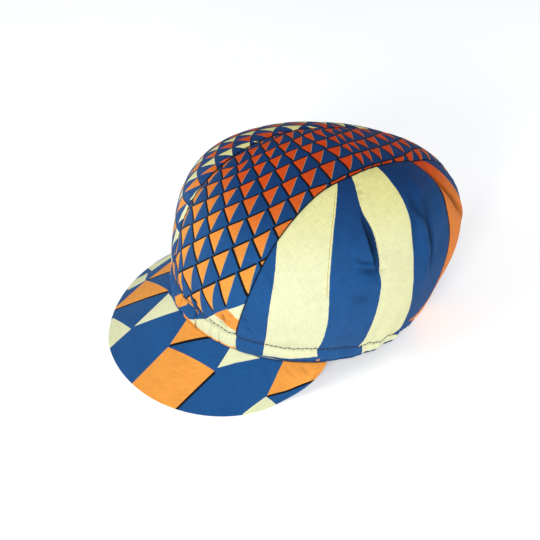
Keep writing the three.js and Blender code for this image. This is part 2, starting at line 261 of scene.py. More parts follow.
def seamsAt(y):
    return alongTable(seamSteps, (np.clip(y, -1, 1) + 1) / 2 * (len(seamSteps) - 1), False)


def nearSeam(x, y):
    return np.min(np.abs(x[..., None] - seamsAt(y)), axis=-1) * crown["squareSpan"]


def dipNearSeams(x, y):
    near = nearSeam(x, y)
    dip = crown["seamDip"] * np.exp(-(near / crown["seamSoftness"]) ** 2)
    return dip + crown["seamRoll"] * np.exp(-(near / crown["seamRollWidth"]) ** 2)


def foldRelief(x, y):
    relief = 0 * x
    for fromX, fromY, toX, toY, depth, halfWidth in folds:
        runX, runY = toX - fromX, toY - fromY
        share = ((x - fromX) * runX + (y - fromY) * runY) / (runX ** 2 + runY ** 2)
        share = np.clip(share, 0, 1)
        away = np.hypot(x - fromX - runX * share, y - fromY - runY * share)
        relief = relief - depth * np.exp(-(away * crown["squareSpan"] / halfWidth) ** 2)
    return relief


# Distance to a path, positive to the left of it, and share of the path
def alongPath(x, y, path):
    nearest, side, reached, walked = np.full(np.shape(x), 1e9), 0 * x, 0 * x, 0
    for (fromX, fromY), (toX, toY) in zip(path, path[1:]):
        runX, runY = toX - fromX, toY - fromY
        length = math.hypot(runX, runY)
        share = np.clip(((x - fromX) * runX + (y - fromY) * runY) / length ** 2, 0, 1)
        away = np.hypot(x - fromX - runX * share, y - fromY - runY * share)
        left = np.sign(runX * (y - fromY) - runY * (x - fromX))
        closer = away < nearest
        nearest = np.where(closer, away, nearest)
        side = np.where(closer, away * left, side)
        reached = np.where(closer, walked + share * length, reached)
        walked += length
    return side * crown["squareSpan"], reached / walked


def creaseRelief(x, y):
    relief = 0 * x
    for path, depth, halfWidth in creases:
        side, share = alongPath(x, y, path)
        ends = np.sin(np.pi * np.clip(share, 0.03, 0.97) ** 1.4)  # deepest past its middle
        relief = relief - depth * ends * np.exp(-(side / halfWidth) ** 2)
    return relief


def pleatRelief(x, y):
    relief = 0 * x
    for path, lift, liftReach, hollow, hollowReach, halfWidth, paintedLineShade in pleats:
        side, share = alongPath(x, y, path)
        ends = np.sin(np.pi * np.clip(share, 0.001, 0.999)) ** 0.7
        over = (1 + np.tanh(side / halfWidth)) / 2
        raised = lift * np.exp(-(side / liftReach) ** 2)
        wide = hollowReach * (0.25 + 0.75 * ends)
        sunk = hollow * (0.6 + 0.4 * np.clip(-side / wide, 0, 1))
        sunk = sunk * smoothShare(-side, 1.25 * wide, 0.9 * wide)
        relief = relief + ends * (raised * over - sunk * (1 - over))
    return relief


# Slow waves that don't repeat over the crown
def slackRelief(x, y):
    waves = np.sin(7 * x + 3 * y + 1) * np.sin(5 * y - 4 * x + 2)
    waves = waves + 0.5 * np.sin(13 * x - 9 * y) * np.sin(11 * y + 6 * x + 1)
    return crown["slack"] * waves


def clothHeight(angle, rise):
    return sectionHeight(crownSection(angle)[1], rise)


# Painted shade: how dark the cloth is painted in the folds and in the groove of the stitching,
# in millimetres but for the groove's share
paintedFoldShade = {
    "fullDepth": 3.2,  # depth at which a fold is at its darkest
    "lineOffset": 0.7, "lineWidth": 1.1,  # painted shadow line beside the fold of a pleat
    "groove": 0.3, "grooveWidth": 1.6,
}


# Share of painted shade: deep folds, the line beside each pleat's fold and the stitching groove
def paintedShadeShare(angle, rise, x, y):
    sunk = np.maximum(-creaseRelief(x, y) - pleatRelief(x, y), 0) / paintedFoldShade["fullDepth"]
    for path, *sizes, paintedLineShade in pleats:
        side, share = alongPath(x, y, path)
        ends = np.sin(np.pi * np.clip(share, 0, 1)) ** 0.6
        line = np.exp(-((side + paintedFoldShade["lineOffset"]) / paintedFoldShade["lineWidth"]) ** 2)
        sunk = np.maximum(sunk, paintedLineShade * ends * line)
    fromStitching = clothHeight(angle, rise) - stitchHeight(angle)
    groove = paintedFoldShade["groove"] * np.exp(-(fromStitching / paintedFoldShade["grooveWidth"]) ** 2)
    return np.clip(sunk + groove, 0, 1)


# How far the cloth stands out from the smooth crown
def relief(angle, rise, height):
    fromStitching = height - stitchHeight(angle)
    hemRise = riseAtHeight(angle, stitchHeight(angle))
    outward = np.minimum((1 - rise) / (1 - hemRise), 1)
    x, y = discToSquare(np.sin(angle) * outward, -np.cos(angle) * outward)
    waver, waverCount = crown["gatherWaver"]
    phase = crown["gatherCount"] * angle + waver * np.sin(waverCount * angle)
    fade = np.exp(-np.abs(fromStitching) / crown["gatherReach"])
    gather = aroundHem(gatherDepths, angle) * np.cos(phase) * fade
    groove = hem["stitchDip"] * np.exp(-(fromStitching / hem["stitchSoftness"]) ** 2)
    puckerPhase = crown["puckerCount"] * angle + 2 * np.sin(5 * angle)
    puckerFade = np.exp(-np.abs(fromStitching) / crown["puckerReach"])
    detail = crown["pucker"] * np.cos(puckerPhase) * puckerFade
    ripples = crown["gatherRipple"] * gather * np.cos(2.1 * phase + 0.7)
    seamWave = np.cos(crown["seamPuckerCount"] * y + 3 * np.sin(9 * y))
    seamWave = seamWave * np.exp(-nearSeam(x, y) / crown["seamPuckerReach"])
    detail = detail + ripples + crown["seamPucker"] * seamWave
    detail = detail + creaseRelief(x, y) + pleatRelief(x, y)
    detail = detail + slackRelief(x, y) * np.clip(fromStitching / crown["slackStart"], 0, 1)
    return gather - groove - dipNearSeams(x, y) + foldRelief(x, y) + detail


def clothPoint(angle, rise, depth):
    held = np.minimum(rise, 0.999)
    point = crownBase(angle, held)
    around = crownBase(angle + 0.001, held) - crownBase(angle - 0.001, held)
    upward = crownBase(angle, held + 0.0005) - crownBase(angle, held - 0.0005)
    normal = np.cross(around, upward)
    normal = normal / np.linalg.norm(normal, axis=-1, keepdims=True)
    return point + normal * (relief(angle, held, point[..., 2]) - depth)[..., None]


def clothAtHeight(angle, height, depth):
    return clothPoint(angle, riseAtHeight(angle, height), depth)


restLevel = -math.sin(hem["tilt"]) * hem["length"] / 2 + hem["flattened"]


# From the cap's own frame to the frame of the part, still in millimetres
def settle(points, ahead):
    turn, side = math.cos(hem["tilt"]), math.sin(hem["tilt"])
    y = turn * points[..., 1] + side * points[..., 2] + ahead
    z = turn * points[..., 2] - side * points[..., 1]
    return np.stack([points[..., 0], y, np.maximum(z, restLevel) - restLevel], -1)


peak = {
    "length": 64.8, "wall": 2, "endAngle": math.radians(88), "roundness": 1.449,
    "tuckUnder": 0.6, "rootDrop": 0.3,
    "droopMost": math.radians(62), "droopEase": math.radians(4),
}


def peakDroop(angle, length):
    across = -math.sin(hem["tilt"]) * hemNormal(angle)[..., 1] * length
    down = -math.cos(hem["tilt"]) * length
    edgeLevel = restLevel + peak["wall"] / 2 - hem["flattened"] / 2
    wanted = edgeLevel + math.sin(hem["tilt"]) * hemPoint(angle)[..., 1]
    share = np.clip(wanted / np.hypot(across, down), -1, 1)
    droop = np.arctan2(down, across) + np.arccos(share)
    excess = np.log(1 + np.exp((peak["droopMost"] - droop) / peak["droopEase"]))
    return peak["droopMost"] - peak["droopEase"] * excess


def peakLength(across):
    roundness = np.maximum(1 - np.abs(across) ** peak["roundness"], 0)
    return peak["length"] * roundness ** (1 / peak["roundness"])


# A point of the peak: across from -1 to 1, outward from 0 at the hem to 1 at the edge
def peakPoint(across, outward, depth):
    angle, length = across * peak["endAngle"], peakLength(across)
    droop = peakDroop(angle, np.maximum(length, 1))[..., None]
    normal = hemNormal(angle)
    upward = np.array([0.0, 0.0, 1.0])
    ray = normal * np.cos(droop) - upward * np.sin(droop)
    face = normal * np.sin(droop) + upward * np.cos(droop)
    root = hemPoint(angle) - normal * peak["tuckUnder"] - upward * peak["rootDrop"]
    reach = np.maximum(length + peak["tuckUnder"], 2)
    return root + ray * (reach * outward)[..., None] - face * np.asarray(depth)[..., None]


# The frame has the cap's middle over its origin, so the peak's edge gives the shift ahead.
edgePlaces = np.linspace(-1, 1, 73)
edgeTop, edgeUnder = (settle(peakPoint(edgePlaces, 1 + 0 * edgePlaces, depth + 0 * edgePlaces), 0)
                      for depth in (0, peak["wall"]))
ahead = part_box("peak")[0][1] * 1000 - min(edgeTop[:, 1].min(), edgeUnder[:, 1].min())


def aimCamera():
    azimuth, elevation = (math.radians(camera[key]) for key in ("azimuth", "elevation"))
    away = Vector((math.sin(azimuth) * math.cos(elevation),
                   -math.cos(azimuth) * math.cos(elevation), math.sin(elevation)))
    target = Vector(settle(np.zeros(3), ahead)) / 1000
    data = bpy.data.cameras.new("photoCamera")
    data.lens = camera["lens"]
    data.sensor_width = camera["sensor"]
    data.shift_x, data.shift_y = camera["shift"]
    data.clip_start, data.clip_end = 0.01, 20
    item = bpy.data.objects.new("photoCamera", data)
    item.location = target + away * camera["distance"] / 1000
    item.rotation_euler = away.to_track_quat("Z", "Y").to_euler()
    scene.collection.objects.link(item)
    bpy.context.scene.camera = item


aimCamera()
print("camera set")


# A smooth mesh object from points in millimetres, with the material of each face by number
def addPiece(name, points, faces, materials, faceMaterials=None, maps=None):
    mesh = bpy.data.meshes.new(name)
    mesh.from_pydata((np.asarray(points) / 1000).tolist(), [], [list(face) for face in faces])
    for material in materials:
        mesh.materials.append(material)
    if faceMaterials is not None:
        mesh.polygons.foreach_set("material_index", np.asarray(faceMaterials, dtype=np.int32))
    mesh.polygons.foreach_set("use_smooth", [True] * len(mesh.polygons))
    corners = np.empty(len(mesh.loops), dtype=np.int32)
    mesh.loops.foreach_get("vertex_index", corners)
    for mapName, places in (maps or {}).items():
        layer = mesh.uv_layers.new(name=mapName)
        layer.data.foreach_set("uv", np.asarray(places, dtype=np.float32)[corners].ravel())
    mesh.update()
    item = bpy.data.objects.new(name, mesh)
    scene.collection.objects.link(item)
    return item


# Quads of a grid whose points are listed row by row
def gridFaces(rows, columns, start, flipped):
    row, column = np.meshgrid(np.arange(rows - 1), np.arange(columns - 1), indexing="ij")
    first = (start + row * columns + column).ravel()
    faces = np.stack([first, first + 1, first + columns + 1, first + columns], -1)
    return faces[:, ::-1] if flipped else faces


# A closed sheet between an outer and an inner grid, with a wall round its border
def sheetPiece(name, outer, inner, materials, maps):
    rows, columns = outer.shape[:2]
    count = rows * columns
    points = np.concatenate([outer.reshape(-1, 3), inner.reshape(-1, 3)])
    front = gridFaces(rows, columns, 0, False)
    back = gridFaces(rows, columns, count, True)
    border = np.concatenate([
        np.arange(columns),
        np.arange(1, rows) * columns + columns - 1,
        (rows - 1) * columns + np.arange(columns - 2, -1, -1),
        np.arange(rows - 2, 0, -1) * columns,
    ])
    after = np.roll(border, -1)
    wall = np.stack([border, border + count, after + count, after], -1)
    faces = np.concatenate([front, back, wall])
    kinds = np.concatenate([0 * front[:, 0], 0 * back[:, 0] + 1, 0 * wall[:, 0]])
    both = {key: np.concatenate([value, value]) for key, value in maps.items()}
    return addPiece(name, points, faces, materials, kinds, both)


# Length walked from the first point, along one way of a grid or along a line
def walked(points, way=0):
    steps = np.linalg.norm(np.diff(points, axis=way), axis=-1)
    return np.concatenate([0 * np.take(steps, [0], way), np.cumsum(steps, way)], way)


# Shares from 0 to 1, closer together at both ends
def panelShares(count, gathered=0.5):
    even = np.linspace(0, 1, count)
    return (1 - gathered) * even + gathered * (1 - np.cos(np.pi * even)) / 2


def ink(red, green, blue):
    def linear(value):
        value /= 255
        return value / 12.92 if value <= 0.04045 else ((value + 0.055) / 1.055) ** 2.4
    return (linear(red), linear(green), linear(blue), 1)


# Each ink as on the front and sides, and its darker copy painted as shade on the top and rear
inks = {
    "blue": (ink(26, 82, 139), ink(5, 50, 101)),
    "paleYellow": (ink(227, 229, 185), ink(224, 219, 144)),
    "orange": (ink(238, 156, 66), ink(200, 60, 5)),
    "black": (ink(8, 14, 18), ink(6, 10, 14)),
    "navy": (ink(20, 48, 96), ink(14, 38, 80)),
    "faded": (ink(150, 168, 196), ink(120, 140, 172)),
    "thread": (ink(20, 24, 34), ink(14, 18, 26)),
    "misprint": (ink(206, 190, 120), ink(196, 178, 104)),
}


# A socket of one material. Operators on it add Math nodes.
class Wire:
    def __init__(self, tree, socket=None):
        self.tree = tree
        self.socket = socket

    def node(self, kind, settings=None, inputs=None, output=0):
        made = self.tree.nodes.new(kind)
        for key, value in (settings or {}).items():
            if key == "stops":
                ramp = made.color_ramp
                while len(ramp.elements) > 1:
                    ramp.elements.remove(ramp.elements[-1])
                for index, (place, colour) in enumerate(value):
                    stop = ramp.elements[0] if index == 0 else ramp.elements.new(place)
                    stop.position = place
                    stop.color = colour
            else:
                setattr(made, key, value)
        for key, value in (inputs or {}).items():
            if isinstance(value, Wire):
                self.tree.links.new(value.socket, made.inputs[key])
            else:
                made.inputs[key].default_value = value
        return Wire(self.tree, made.outputs[output] if made.outputs else None)

    def math(self, operation, *values):
        return self.node("ShaderNodeMath", {"operation": operation}, dict(enumerate(values)))

    def __add__(self, other):
        return self.math("ADD", self, other)

    def __sub__(self, other):
        return self.math("SUBTRACT", self, other)

    def __rsub__(self, other):
        return self.math("SUBTRACT", other, self)

    def __mul__(self, other):
        return self.math("MULTIPLY", self, other)

    def __gt__(self, other):
        return self.math("GREATER_THAN", self, other)

    def __lt__(self, other):
        return self.math("LESS_THAN", self, other)

    def __or__(self, other):
        return self.math("MAXIMUM", self, other)

    __radd__ = __add__
    __rmul__ = __mul__

    def fraction(self):
        return self.math("FRACT", self)

    def sine(self):
        return self.math("SINE", self)

    def absolute(self):
        return self.math("ABSOLUTE", self)

    def split(self):
        parts = self.node("ShaderNodeSeparateXYZ", None, {0: self})
        made = parts.socket.node
        return Wire(self.tree, made.outputs[0]), Wire(self.tree, made.outputs[1])

    def over(self, below, top):
        colours = {0: self, 6: below, 7: top}
        return self.node("ShaderNodeMix", {"data_type": "RGBA"}, colours, 2)

    def between(self, low, high):
        return (self > low) * (self < high)


def clothMap(tree, name):
    return Wire(tree).node("ShaderNodeUVMap", {"uv_map": name})


def ripple(tree, scale, detail=2.0, rough=0.5):
    place = Wire(tree).node("ShaderNodeTexCoord", output="Object")
    sizes = {"Vector": place, "Scale": scale, "Detail": detail, "Roughness": rough}
    return place.node("ShaderNodeTexNoise", None, sizes, "Fac")


# 1 inside a polygon with straight sides whose corners are listed anticlockwise
def inside(place, corners):
    mask = None
    for (fromX, fromY), (toX, toY) in zip(corners, corners[1:] + corners[:1]):
        across, along = fromY - toY, toX - fromX
        size = math.hypot(across, along)
        normal = (across / size, along / size, 0)
        reach = place.node("ShaderNodeVectorMath", {"operation": "DOT_PRODUCT"},
                           {0: place, 1: normal}, "Value")
        within = reach > (fromX * normal[0] + fromY * normal[1])
        mask = within if mask is None else mask * within
    return mask


cloth = {
    "roughness": 0.8, "roughnessWorn": 0.12, "specular": 0.16,
    "sheen": 0.03, "sheenRoughness": 0.4,
    "threadPitch": 0.62,  # millimetres
    "weaveHeight": 0.00006, "creaseHeight": 0.0005,  # metres
    "brightness": 1.0,
    # light and dark of the ink: large patches, small ones, threads, thick threads, streaks
    "mottle": 0.34, "worn": 0.16, "threadTone": 0.06, "slub": 0.27, "streak": 0.5,
    "streakAcross": 1.7, "streakAlong": 0.11,  # how fine the streaks are, to the millimetre
    "toneOnDark": 1.3, "toneLostOnWhite": 0.9,  # a dark ink shows more of it than a pale one
    "paintedFoldDarkening": 0.7,  # painted shade in the folds
    "paintedShadeOnInks": None,  # how far the inks turn to their darker copies, as painted shade, at the top and at the rear
}
# Where the painted shade on the inks begins and is full, from and to, in metres of the frame
shadedInkPlaces = {"topHeight": (0.098, 0.146), "topBack": (-0.09, -0.02), "rear": (0.0, 0.11)}


def streaks(tree, across, along):
    place = across.node("ShaderNodeCombineXYZ", None, {0: across, 1: along})
    return place.node("ShaderNodeTexNoise", None, {
        "Vector": place, "Scale": 1.0, "Detail": 2.0, "Roughness": 0.6}, "Fac")


def graded(value, low, high):
    return value.node("ShaderNodeMapRange", {"interpolation_type": "SMOOTHSTEP"},
                      {"Value": value, "From Min": low, "From Max": high})


# Painted shade: the inks turn darker and deeper on the top and at the rear.
def inksWithPaintedShade(tree, shadeAmounts):
    if shadeAmounts is None:
        return {name: litInk for name, (litInk, new) in inks.items()}
    place = Wire(tree).node("ShaderNodeTexCoord", output="Object")
    parts = place.node("ShaderNodeSeparateXYZ", None, {0: place}).socket.node
    back, up = Wire(tree, parts.outputs[1]), Wire(tree, parts.outputs[2])
    top = graded(up, *shadedInkPlaces["topHeight"]) * graded(back, *shadedInkPlaces["topBack"])
    share = shadeAmounts[0] * top + shadeAmounts[1] * graded(back, *shadedInkPlaces["rear"])
    return {name: share.over(litInk, new) for name, (litInk, new) in inks.items()}


def emptyMaterial(name):
    material = bpy.data.materials.new(name)
    material.use_nodes = True
    material.node_tree.nodes.clear()
    return material, material.node_tree


# Woven cotton: the print's colour, mottled a little, with threads, fine creases and sheen,
# painted shade in the folds
def cottonMaterial(name, printed, settings=None):
    look = dict(cloth, **(settings or {}))
    material, tree = emptyMaterial(name)
    colour = printed(tree, inksWithPaintedShade(tree, look["paintedShadeOnInks"]))
    pitch = 2 * math.pi / look["threadPitch"]
    warp, weft = clothMap(tree, "threads").split()
    weave = (warp * pitch).sine() * (weft * pitch).sine()
    slubs = ripple(tree, 900, 3, 0.6)
    fine, long = look["streakAcross"], look["streakAlong"]
    longWarp = streaks(tree, warp * fine, weft * long)
    longWeft = streaks(tree, warp * long, weft * fine)
    mottle = ripple(tree, 38, 4, 0.55)
    worn = ripple(tree, 260, 3, 0.6)
    shade = look["mottle"] * (mottle - 0.5) + look["worn"] * (worn - 0.5)
    shade = shade + look["threadTone"] * weave + look["slub"] * (slubs - 0.5)
    shade = shade + look["streak"] * (longWarp + longWeft - 1)
    bright = colour.node("ShaderNodeRGBToBW", None, {0: colour})
    shade = shade * (look["toneOnDark"] - look["toneLostOnWhite"] * bright)
    shade = look["brightness"] + shade
    # painted shade in the folds and the stitching groove, from the sunk map
    if look["paintedFoldDarkening"]:
        shade = shade * (1 - look["paintedFoldDarkening"] * clothMap(tree, "sunk").split()[0])
    grey = shade.node("ShaderNodeCombineXYZ", None, {0: shade, 1: shade, 2: shade})
    tinted = shade.node("ShaderNodeMix", {"data_type": "RGBA", "blend_type": "MULTIPLY"},
                        {0: 1.0, 6: colour, 7: grey}, 2)
    wrinkles = ripple(tree, 95, 3, 0.5) + 0.5 * ripple(tree, 210, 2, 0.5)
    bend = wrinkles.node("ShaderNodeBump", None, {
        "Strength": 1.0, "Distance": look["creaseHeight"], "Height": wrinkles})
    threads = weave.node("ShaderNodeBump", None, {
        "Strength": 1.0, "Distance": look["weaveHeight"], "Height": weave + slubs,
        "Normal": bend})
    rough = look["roughness"] + look["roughnessWorn"] * (worn - 0.5)
    shader = Wire(tree).node("ShaderNodeBsdfPrincipled", None, {
        "Base Color": tinted, "Roughness": rough, "Normal": threads,
        "Sheen Weight": look["sheen"], "Sheen Roughness": look["sheenRoughness"],
        "Specular IOR Level": look["specular"]})
    shader.node("ShaderNodeOutputMaterial", None, {"Surface": shader})
    return material


# Where the rows of the triangle print lie on the left middle panel, read off:
# each triangle's square corner in the crown's square, from the row's first column on.
triangleRows = {
    1: (-2, [(0.665, -0.885), (0.668, -0.79), (0.655, -0.645)]),
    0: (-3, [(0.441, -0.933), (0.49, -0.842), (0.511, -0.726), (0.515, -0.606)]),
    -1: (-4, [(0.175, -0.95), (0.246, -0.908), (0.349, -0.806), (0.39, -0.699),
              (0.405, -0.587), (0.405, -0.489), (0.394, -0.392)]),
    -2: (-3, [(0.132, -0.863), (0.23, -0.775), (0.282, -0.674), (0.306, -0.573),
              (0.315, -0.482), (0.311, -0.389), (0.301, -0.305), (0.291, -0.217),
              (0.282, -0.118), (0.247, -0.022), (0.213, 0.053), (0.187, 0.093),
              (0.164, 0.13), (0.13, 0.178), (0.094, 0.222), (0.054, 0.26)]),
    -3: (-3, [(0.03, -0.825), (0.139, -0.741), (0.2, -0.65), (0.225, -0.56),
              (0.236, -0.473), (0.238, -0.39), (0.23, -0.31), (0.216, -0.234),
              (0.2, -0.15), (0.18, -0.058), (0.148, 0.02), (0.13, 0.056),
              (0.106, 0.088), (0.077, 0.129), (0.046, 0.17), (0.017, 0.208)]),
    -4: (-2, [(0.047, -0.713), (0.12, -0.628), (0.157, -0.543), (0.173, -0.463),
              (0.173, -0.384), (0.163, -0.311), (0.148, -0.241), (0.132, -0.169),
              (0.121, -0.1), (0.107, -0.023), (0.083, 0.012), (0.065, 0.042),
              (0.036, 0.082), (0.009, 0.121)]),
    -5: (-1, [(0.049, -0.605), (0.092, -0.528), (0.109, -0.453), (0.113, -0.381),
              (0.109, -0.313), (0.097, -0.25), (0.081, -0.184), (0.065, -0.126)]),
    -6: (0, [(0.034, -0.512), (0.074, -0.44), (0.069, -0.372), (0.067, -0.313),
             (0.051, -0.251), (0.037, -0.187)]),
    -7: (2, [(0.021, -0.37), (0.022, -0.311), (0.007, -0.252)]),
}
# Shares of the step from one triangle to the next, but for the places in the square
triangleShape = {
    "evenness": 2e-4,  # a larger value evens out the charted places
    "width": 0.8, "tipShift": 0.1, "tip": 0.84, "leftLine": 0.1, "topLine": 0.07,
    "start": (0.14, 0.1),  # how far before its square corner a triangle's lines may begin
    "lineUnder": 0.01, "topPast": 0.03, "leftPast": 0.06,  # how far a line runs on
    "printEnd": 0.672, "lastRow": 0.9,  # the square's x and the row at which they stop
    "patch": [(0.668, -0.89), (0.86, -0.885), (0.761, -0.777), (0.667, -0.782)],
    "misprint": (-0.03, 0.004), "misprintInk": 0.6,  # yellow at the right edge
    "sliver": 1.8, "sliverPlace": (-0.84, -0.53),  # orange along the centre seam
    "seamShadowWidths": (1.2, 0.5),  # millimetres
}
# The same for the right panel, by columns counted from the centre seam outward: where the
# corners lie, from the column's first row on
halfSquareColumns = {
    1: (2, [(0.008, -0.534), (-0.006, -0.637), (-0.033, -0.738), (-0.075, -0.848)]),
    2: (1, [(-0.002, -0.443), (-0.022, -0.529), (-0.075, -0.633), (-0.171, -0.747)]),
    3: (0, [(-0.032, -0.349), (-0.045, -0.43), (-0.087, -0.521), (-0.157, -0.623)]),
    4: (0, [(-0.073, -0.331), (-0.098, -0.412), (-0.13, -0.493), (-0.178, -0.576)]),
}
halfSquareShape = {
    "evenness": 2e-3,
    "width": 0.9, "length": 0.82, "line": 0.035, "lineInk": 0.9, "wobble": 0.1,
    "seamShadowWidths": (0.5, 0.9),  # millimetres
}
middlePanel = {"rows": 241, "columns": 61}


# Column and row of a charted print at x, y of the square: a thin plate bent through the chart
def chartPlaces(known, wanted, x, y, evenness):
    known, wanted = np.array(known), np.array(wanted, float)

    def bend(distance):
        return distance ** 2 * np.log(distance + 1e-9)

    apart = np.hypot(*(known[:, None] - known[None]).transpose(2, 0, 1))
    flatPart = np.column_stack([np.ones(len(known)), known])
    system = np.block([[bend(apart) + evenness * np.eye(len(known)), flatPart],
                       [flatPart.T, np.zeros((3, 3))]])
    weights = np.linalg.solve(system, np.vstack([wanted, np.zeros((3, 2))]))
    places = np.column_stack([x.ravel(), y.ravel()])
    away = np.hypot(*(places[:, None] - known[None]).transpose(2, 0, 1))
    flat = np.column_stack([np.ones(len(places)), places])
    return bend(away) @ weights[:len(known)] + flat @ weights[len(known):]


def trianglePlaces(x, y):
    known, wanted = [], []
    for row, (first, corners) in triangleRows.items():
        known += corners
        wanted += [(first + step, row) for step in range(len(corners))]
    return chartPlaces(known, wanted, x, y, triangleShape["evenness"])


def halfSquarePlaces(x, y):
    known, wanted = [], []
    for column, (first, corners) in halfSquareColumns.items():
        known += corners
        wanted += [(column, first + step) for step in range(len(corners))]
    return chartPlaces(known, wanted, x, y, halfSquareShape["evenness"])


# One panel of the crown, from its edge toward the wearer's right to the one toward the left
def crownPanel(name, fromEdge, toEdge, size, materials, printPlaces):
    y = np.linspace(-1, 1, size["rows"])[:, None] + np.zeros(size["columns"])
    share = panelShares(size["columns"])[None]
    start, end = fromEdge(y[:, :1]), toEdge(y[:, :1])
    inset = crown["seamOpening"] / 2 / crown["squareSpan"]
    x = (start + inset) * (1 - share) + (end - inset) * share
    angle, rise = squareToCrown(x, y)
    outer = settle(clothPoint(angle, rise, 0 * x), ahead)
    inner = settle(clothPoint(angle, rise, crown["wall"] + 0 * x), ahead)
    across, along = walked(outer, 1), walked(outer, 0)
    maps = {
        "print": printPlaces(x, y),
        "square": np.column_stack([x.ravel(), y.ravel()]),
        "threads": np.column_stack([across.ravel(), along.ravel()]),
        "seams": np.column_stack([across.ravel(), (across[:, -1:] - across).ravel()]),
        # painted shade of the folds and the stitching groove
        "sunk": np.column_stack([paintedShadeShare(angle, rise, x, y).ravel(), 0 * x.ravel()]),
    }
    return sheetPiece(name, outer, inner, materials, maps)


def leftSeam(y):
    return seamsAt(y)[..., 0]


def centreSeam(y):
    return seamsAt(y)[..., 1]


def rightSeam(y):
    return seamsAt(y)[..., 2]


def trianglePrint(tree, dyes):
    shape = triangleShape
    column, row = clothMap(tree, "print").split()
    before, above = shape["start"]
    across = (column + before).fraction() - before
    down = (row + above).fraction() - above
    lean = shape["tipShift"] / shape["tip"]
    slope = (shape["width"] - shape["tipShift"]) / shape["tip"]
    fromLeft = across - lean * down
    toRight = shape["width"] - slope * down - across
    triangle = (fromLeft > 0) * (down > 0) * (toRight > 0)
    leftLine = fromLeft.between(-shape["leftLine"], shape["lineUnder"])
    leftLine = leftLine * down.between(-shape["topLine"], shape["tip"] + shape["leftPast"])
    topLine = down.between(-shape["topLine"], shape["lineUnder"])
    topLine = topLine * across.between(-shape["leftLine"], shape["width"] + shape["topPast"])
    place = clothMap(tree, "square")
    x, y = place.split()
    low = x > shape["printEnd"]
    ground = low.over(dyes["blue"], dyes["paleYellow"])
    printed = (1 - low) * (row < shape["lastRow"])
    lines = (leftLine | topLine) * printed
    # the yellow under the orange shows at the triangle's right edge
    shown = toRight.between(*shape["misprint"]) * (fromLeft > 0) * (down > 0) * printed
    ground = (shown * shape["misprintInk"]).over(ground, dyes["misprint"])
    triangle = (triangle * printed) | inside(place, shape["patch"])
    colour = lines.over(triangle.over(ground, dyes["orange"]), dyes["black"])
    fromSeam = clothMap(tree, "seams").split()[0]
    slivers = (fromSeam < shape["sliver"]) * y.between(*shape["sliverPlace"])
    slivers = slivers * (ripple(tree, 90, 1) > 0.42)
    colour = slivers.over(colour, dyes["orange"])
    return paintSeamShadows(tree, colour, dyes, shape["seamShadowWidths"])


# Painted shadow line right at a seam: widths at a panel's two edges
def paintSeamShadows(tree, colour, dyes, widths, depth=0.85):
    for width, distance in zip(widths, clothMap(tree, "seams").split()):
        if width:
            colour = (depth * (distance < width)).over(colour, dyes["black"])
    return colour


# Half squares in rows of yellow and orange on the right middle panel
def halfSquarePrint(tree, dyes):
    shape = halfSquareShape
    column, row = clothMap(tree, "print").split()
    toCorner, along = 1 - column.fraction(), row.fraction()
    wobble = shape["wobble"] * (ripple(tree, 160, 2) - 0.5)
    half = toCorner * (1 / shape["width"]) + along * (1 / shape["length"]) + wobble < 1
    yellow = (column * 0.5).fraction() < 0.5
    edge = ((1 - toCorner) < shape["line"]) | (along > 1 - shape["line"])
    edge = edge * (1 - yellow) * shape["lineInk"]
    shapes = half.over(dyes["blue"], yellow.over(dyes["orange"], dyes["paleYellow"]))
    return paintSeamShadows(tree, edge.over(shapes, dyes["black"]), dyes, shape["seamShadowWidths"])


def plainBack(tree, dyes):
    place = clothMap(tree, "threads").split()[0]
    streak = ((place * 0.35).sine() * 0.5 + 0.5) * 0.12
    return streak.over(dyes["faded"], dyes["navy"])


backCotton = cottonMaterial("clothBack", plainBack, {"mottle": 0.4, "paintedFoldDarkening": 0})
# darker inks on the crown's top and rear: painted shade
crownPaintedShade = {"paintedShadeOnInks": (0.95, 0.3)}
triangleCotton = cottonMaterial("triangleCotton", trianglePrint, crownPaintedShade)
halfSquareCotton = cottonMaterial("halfSquareCotton", halfSquarePrint, crownPaintedShade)

middleLeft = crownPanel("crownMiddleLeft", centreSeam, leftSeam, middlePanel,
                        [triangleCotton, backCotton], trianglePlaces)
middleRight = crownPanel("crownMiddleRight", rightSeam, centreSeam, middlePanel,
                         [halfSquareCotton, backCotton], halfSquarePlaces)
for piece, node in ((middleLeft, "middle_panel_left"), (middleRight, "middle_panel_right")):
    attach(piece, "root")
    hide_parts(node)
print("middle panels made")

# Edges of the stripes across the side panel, front to rear: the square's y at its x from
# 0 to 1 in tenths
stripeEdges = {
    "first": [-0.25, -0.27, -0.3, -0.335, -0.378, -0.42, -0.469, -0.535, -0.607, -0.69,
              -0.795],
    "second": [-0.02, -0.04, -0.062, -0.088, -0.117, -0.147, -0.168, -0.182, -0.18, -0.19,
               -0.235],
    "third": [-0.05, -0.035, -0.02, -0.002, 0.018, 0.088, 0.14, 0.194, 0.236, 0.276, 0.3],
    "fourth": [-0.04, 0.035, 0.112, 0.192, 0.262, 0.316, 0.385, 0.483, 0.62, 0.75, 0.83],
    "fifth": [0.12, 0.245, 0.392, 0.479, 0.58, 0.675, 0.76, 0.83, 0.88, 0.93, 0.97],
    "sixth": [0.1, 0.34, 0.66, 0.86, 0.98, 1.05, 1.1, 1.14, 1.17, 1.2, 1.22],
}
stripeInks = ["blue", "paleYellow", "blue", "paleYellow", "blue", "orange", "blue"]
# Shares of a stripe's width, but for the reach, which is the square's x
stripeShape = {
    "wobble": 0.02, "fineWobble": 0.012,
    "misprint": (1.95, 1.966), "misprintReach": (0.33, 0.74),  # a fine line beside the yellow
    "rearLine": 0.062, "rearLineThinning": 0.065,  # black line before the orange
    "outside": 0.2,  # how fast the count goes on past the first and the last edge
    "seamShadowWidths": (0.5, 0),  # millimetres
}
sidePanel = {"rows": 321, "columns": 131}


